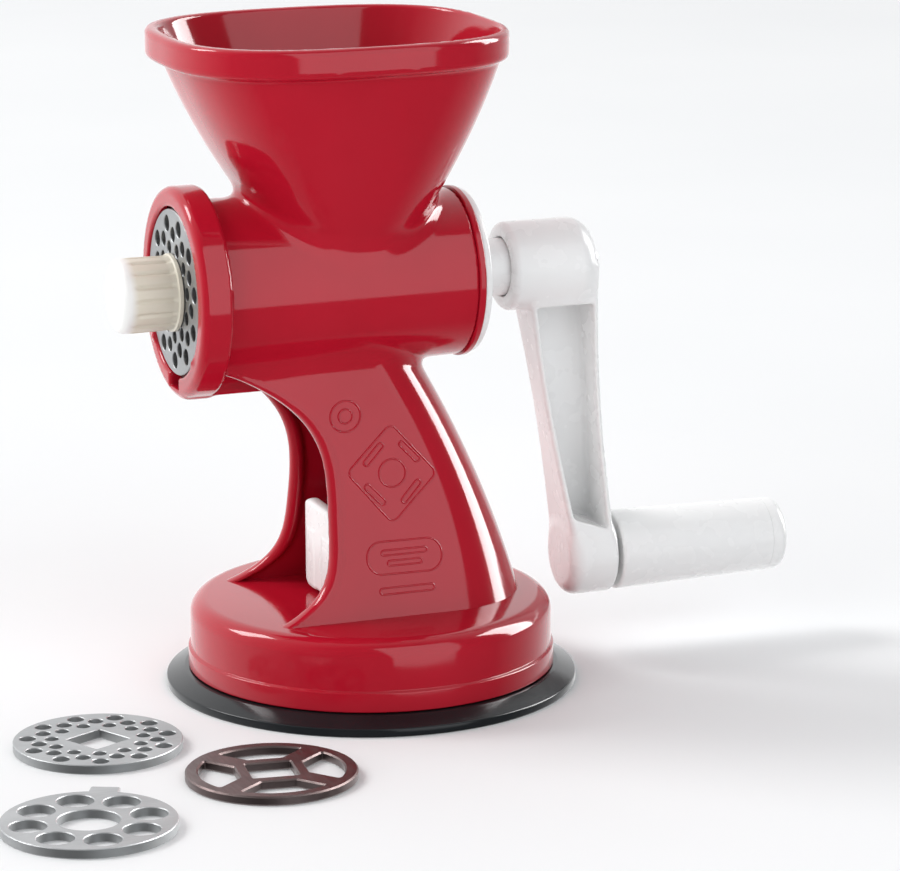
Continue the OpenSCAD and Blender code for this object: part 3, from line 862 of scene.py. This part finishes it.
def make_grip():
    outline = rounded([
        (GRIP_LOW[0] + 2, 4.1, 0), (GRIP_LOW[0], 5, 0.6), (GRIP_LOW[0], GRIP_R1, 1.2),
        (GRIP_HIGH[0] - 0.05, GRIP_R2 + 0.05, 0), (GRIP_HIGH[0] - 0.05, GRIP_R2 - 1.4, 0),
        (GRIP_HIGH[0] - 1.4, GRIP_R2 - 1.6, 0), (GRIP_HIGH[0] - 1.4, 7.5, 0),
        (GRIP_HIGH[0] - 6.6, 7.4, 0.2), (GRIP_HIGH[0] - 6.6, 4.1, 0.2),
    ], steps=6)
    points, faces = revolved(outline, "X", (0, GRIP_Z), closed=True)
    piece("handle_grip_sleeve", points, faces, "handle_grip")
    seam = GRIP_HIGH[0]
    outline = rounded([
        (seam - 2, 0, 0), (seam - 2, 7.2, 0.3), (seam - 1.3, 7.25, 0.2), (seam - 1.3, GRIP_R2 - 1.8, 0.2),
        (seam + 0.02, GRIP_R2 - 0.1, 0.05), (seam + 0.08, GRIP_R2, 0.05),
        (CAP_HIGH[0] - 0.3, GRIP_R2, 5.4), (CAP_HIGH[0], 3.5, 3), (CAP_HIGH[0], 0, 0),
    ], steps=12)
    points, faces = revolved(outline, "X", (0, GRIP_Z))
    piece("grip_cap_dome", points, faces, "grip_cap")


def nut_mesh():
    """Fluted nut: rounded end, broad shallow flutes and a thin flange against the plate."""
    end, back = NUT_LOW[0], NUT_HIGH[0]
    profile = rounded([
        (end + 1.1, 0, 0), (end + 1.0, 2.6, 0.8), (end, 4.4, 0.7), (end, 12.0, 2.6), (end + 6, 12.25, 3),
        (back - 3.4, 12.1, 1.5), (back - 1.6, 12.2, 0.4), (back - 1.4, 12.7, 0.3), (back, 12.7, 0.3),
        (back, 6.1, 0.3), (back - 10, 6.1, 0),
    ], steps=8)
    dense = []
    for a, b in zip(profile, profile[1:]):
        parts = max(1, int(np.linalg.norm(np.array(b) - a) / 0.8))
        dense += [np.array(a) + (np.array(b) - a) * k / parts for k in range(parts)]
    dense.append(np.array(profile[-1]))
    count, around = 16, 384
    points, rows, faces = [], [], []
    for along, radius in dense:
        on_side = np.clip((along - end - 3.6) / 2.4, 0, 1) * np.clip((back - 1.7 - along) / 1.2, 0, 1)
        on_side *= 1.0 if radius > 11 else 0.0
        row = []
        for k in range(1 if radius < 1e-6 else around):
            angle = 2 * math.pi * k / around
            groove = max(0.0, math.cos(count * angle)) ** 2
            r = radius - 0.7 * on_side * groove
            row.append(len(points))
            points.append((along, r * math.cos(angle), AXIS_Z + r * math.sin(angle)))
        rows.append(row)
    for a, b in zip(rows, rows[1:]):
        for k in range(around):
            n = (k + 1) % around
            quad = [a[k % len(a)], a[n % len(a)], b[n % len(b)], b[k % len(b)]]
            faces.append(list(dict.fromkeys(quad)))
    return points, [f for f in faces if len(f) > 2]


def make_nut():
    points, faces = nut_mesh()
    return piece("clamp_nut_fluted", points, faces, "clamp_nut", sharp=50)


def screw_field(x, y, z):
    """Feed screw: tapered root, one helical flight, rear shaft and the neck through the fixed plate."""
    up = z - AXIS_Z
    radial = np.hypot(y, up)
    front, rear = fixed_back(), REAR_X - 6.8
    share = np.clip((x - front) / (rear - front), 0, 1)
    root = smax(radial - (8.6 + 4.4 * share), np.abs(x - (front + rear) / 2) - (rear - front) / 2, 1)
    pitch = 30.0
    turn = np.arctan2(up, y) / (2 * math.pi)
    phase = (x - rear) / pitch + turn
    offset = (phase - np.round(phase)) * pitch
    thick = 1.7 + 2.6 * np.clip((25 - radial) / 14, 0, 1) ** 1.5
    flight = smax(np.abs(offset) * 0.86 - thick, radial - (BORE_R - 0.45), 0.8)
    flight = smax(flight, np.abs(x - (front + rear) / 2) - (rear - front) / 2, 0.8)
    solid = smin(root, flight, 4)
    shaft = smax(radial - SHAFT_R + 0.02, np.abs(x - (rear + HUB_X + 6) / 2) - (HUB_X + 6 - rear) / 2, 0.4)
    neck = smax(radial - 8.6, np.abs(x - (front + MOUTH_X + 3.7) / 2) - (front - MOUTH_X - 3.7) / 2, 0.3)
    return np.minimum(np.minimum(solid, shaft), neck)


def fixed_back():
    """Rear face of the fixed plate plus a small gap."""
    return span("fixed_plate")[1][0] + 0.6


def make_screw():
    """The screw's body, and its square and threaded nose as pieces of their own."""
    low = (MOUTH_X + 2, -BORE_R - 2, AXIS_Z - BORE_R - 2)
    high = (HUB_X + 8, BORE_R + 2, AXIS_Z + BORE_R + 2)
    screw = field_piece("feed_screw_body", screw_field, low, high, SCREW_STEP, "feed_screw")
    half = (DRIVE_SQUARE - 0.2) / 2
    points, faces = plate_mesh([(half, half), (-half, half), (-half, -half), (half, -half)], [], 3.5, 0.3)
    piece("feed_screw_square", placed(points, in_mouth(MOUTH_X + 0.75, 3.5)), faces, "feed_screw")
    outline = [(MOUTH_X - 15, 0), (MOUTH_X - 15, 5), (MOUTH_X - 14, 6)]
    x = MOUTH_X - 14
    while x < MOUTH_X + 0.2:
        outline += [(x + 0.5, 5.1), (x + 1, 5.1), (x + 1.5, 6), (x + 2, 6)]
        x += 2
    outline += [(MOUTH_X + 0.75, 6), (MOUTH_X + 0.75, 0)]
    outline = [p for i, p in enumerate(outline) if i == 0 or p != outline[i - 1]]
    points, faces = revolved([(min(a, MOUTH_X + 0.75), r) for a, r in outline], "X", (0, AXIS_Z), segments=96)
    piece("feed_screw_nose", points, faces, "feed_screw")
    return screw


# ---- suction lever --------------------------------------------------------


def lever_field(x, y, z):
    """Two cam cheeks on the pin, joined to an upright paddle."""
    paddle_x = LEVER_LOW[0]
    top, bottom = LEVER_HIGH[2], BASE_Z + 1
    half_h = (top - bottom) / 2
    lean = x - paddle_x - 2.3
    width = LEVER_HIGH[1]
    paddle = box_field((lean, y, z - (top + bottom) / 2), (2.3, width, half_h), 2.2)
    corner = box_field((y, z - (top + bottom) / 2), (width, half_h), 5.5)
    paddle = smax(paddle, corner, 0.8)
    up = z - LEVER_PIN_Z
    side = np.abs(np.abs(y) - 7.6) - 2.2
    cam = np.hypot(x, up) - 5.4
    b = np.array([-1.4, -6.1])
    along = np.clip((x * b[0] + up * b[1]) / (b @ b), 0, 1)
    lobe = np.hypot(x - b[0] * along, up - b[1] * along) - (4.6 - 2.2 * along)
    t = np.clip(-x / (-paddle_x - 2), 0, 1)
    web = np.maximum(np.maximum(x, paddle_x + 1 - x), np.maximum(up - 5.2 - 5 * t, -up - 4.5 - 2.8 * t))
    cheek = smax(smin(np.minimum(cam, lobe), web, 1.5), side, 0.8)
    body = smin(paddle, cheek, 2.5)
    return smax(body, -(np.hypot(x, up) - 2.55), 0.3)


def make_lever():
    low = LEVER_LOW - 2
    high = LEVER_HIGH + 2
    return field_piece("suction_lever_paddle", lever_field, low, high, LEVER_STEP, "suction_lever")


# ---- carried-over CAD nodes -----------------------------------------------


def finish_cad_nodes():
    """Gives every CAD node its procedural material."""
    for name, obj in frame["nodes"].items():
        obj.data.materials.clear()
        obj.data.materials.append(SLOTS[NODE_SLOT[name]])


# ---- studio ---------------------------------------------------------------


def make_floor():
    material, tree, node = shader("floor_paper", Roughness=0.9, Specular_IOR_Level=0.1)
    colour = tint(tree, noise(tree, 4, 2), (0.88, 0.885, 0.89), (0.90, 0.903, 0.906))
    tree.links.new(colour, node.inputs["Base Color"])
    size = 9.0
    mesh = bpy.data.meshes.new("floor")
    corners = [(-size, -size, 0), (size, -size, 0), (size, size, 0), (-size, size, 0)]
    mesh.from_pydata(corners, [], [(0, 1, 2, 3)])
    mesh.materials.append(material)
    floor = bpy.data.objects.new("floor", mesh)
    bpy.context.collection.objects.link(floor)
    floor.visible_glossy = False  # glossy parts don't mirror the floor


def softbox(name, place, target, width, height, power):
    light = bpy.data.lights.new(name, "AREA")
    light.shape = "RECTANGLE"
    light.size, light.size_y = width, height
    light.energy = power
    obj = bpy.data.objects.new(name, light)
    obj.location = place
    obj.rotation_euler = (Vector(target) - Vector(place)).to_track_quat("-Z", "Y").to_euler()
    bpy.context.collection.objects.link(obj)
    return obj


def make_world(front, back):
    """Daylight that grows from the front, at -Y, to the back."""
    world = bpy.data.worlds.new("studio")
    world.use_nodes = True
    tree = world.node_tree
    place = tree.nodes.new("ShaderNodeTexCoord")
    split = tree.nodes.new("ShaderNodeSeparateXYZ")
    tree.links.new(place.outputs["Generated"], split.inputs["Vector"])
    strength = ramp(tree, split.outputs["Y"], front, back, -0.4, 0.6)
    tree.links.new(strength, tree.nodes["Background"].inputs["Strength"])
    tree.nodes["Background"].inputs["Color"].default_value = (0.985, 0.99, 1.0, 1)
    bpy.context.scene.world = world


def make_camera():
    azimuth, elevation, roll, distance, focal = -20.6, 13.75, -0.25, 1.4, 4195
    target = Vector((0.0286, 0, 0.0804))
    a, e = math.radians(azimuth), math.radians(elevation)
    back = Vector((math.sin(a) * math.cos(e), -math.cos(a) * math.cos(e), math.sin(e)))
    data = bpy.data.cameras.new("camera")
    data.sensor_width = 36
    data.lens = focal * data.sensor_width / 900
    camera = bpy.data.objects.new("camera", data)
    turn = back.to_track_quat("Z", "Y").to_matrix().to_4x4() @ Matrix.Rotation(math.radians(roll), 4, "Z")
    camera.matrix_world = Matrix.Translation(target + back * distance) @ turn
    bpy.context.collection.objects.link(camera)
    bpy.context.scene.camera = camera


def aimed_softbox(name, azimuth, elevation, distance, width, height, radiance):
    """A softbox aimed at the barrel. Azimuth 0 is in front at -Y and grows towards +X."""
    target = Vector((0, 0, 0.11))
    a, e = math.radians(azimuth), math.radians(elevation)
    out = Vector((math.sin(a) * math.cos(e), -math.cos(a) * math.cos(e), math.sin(e)))
    return softbox(name, target + out * distance, target, width, height, radiance * math.pi * width * height)


def make_studio():
    """Large soft lights. The strip shows only in reflections, and the fill shows in none."""
    make_floor()
    make_world(0.16, 1.2)
    window = aimed_softbox("window_front", 14.5, 21, 6.0, 5.2, 8.7, 1.45)
    window.data.color = (0.94, 0.97, 1.0)
    aimed_softbox("key_left", -126, 42, 5.0, 1.4, 2.1, 11)
    strip = aimed_softbox("strip_right", 90, 24, 5.0, 2.3, 4.4, 14)
    strip.visible_diffuse = False
    fill = aimed_softbox("fill_left", -62, 18, 5.0, 3.0, 3.0, 3.0)
    fill.visible_glossy = False
    bpy.context.scene.view_settings.view_transform = "Standard"


finish_cad_nodes()
make_housing()
make_rear_ring()
make_base()
make_emblems()
make_rear_bush()
make_pad()
make_plates()
make_crank()
make_grip()
make_nut()
make_screw()
make_lever()
make_studio()
make_camera()

bpy.context.view_layer.update()
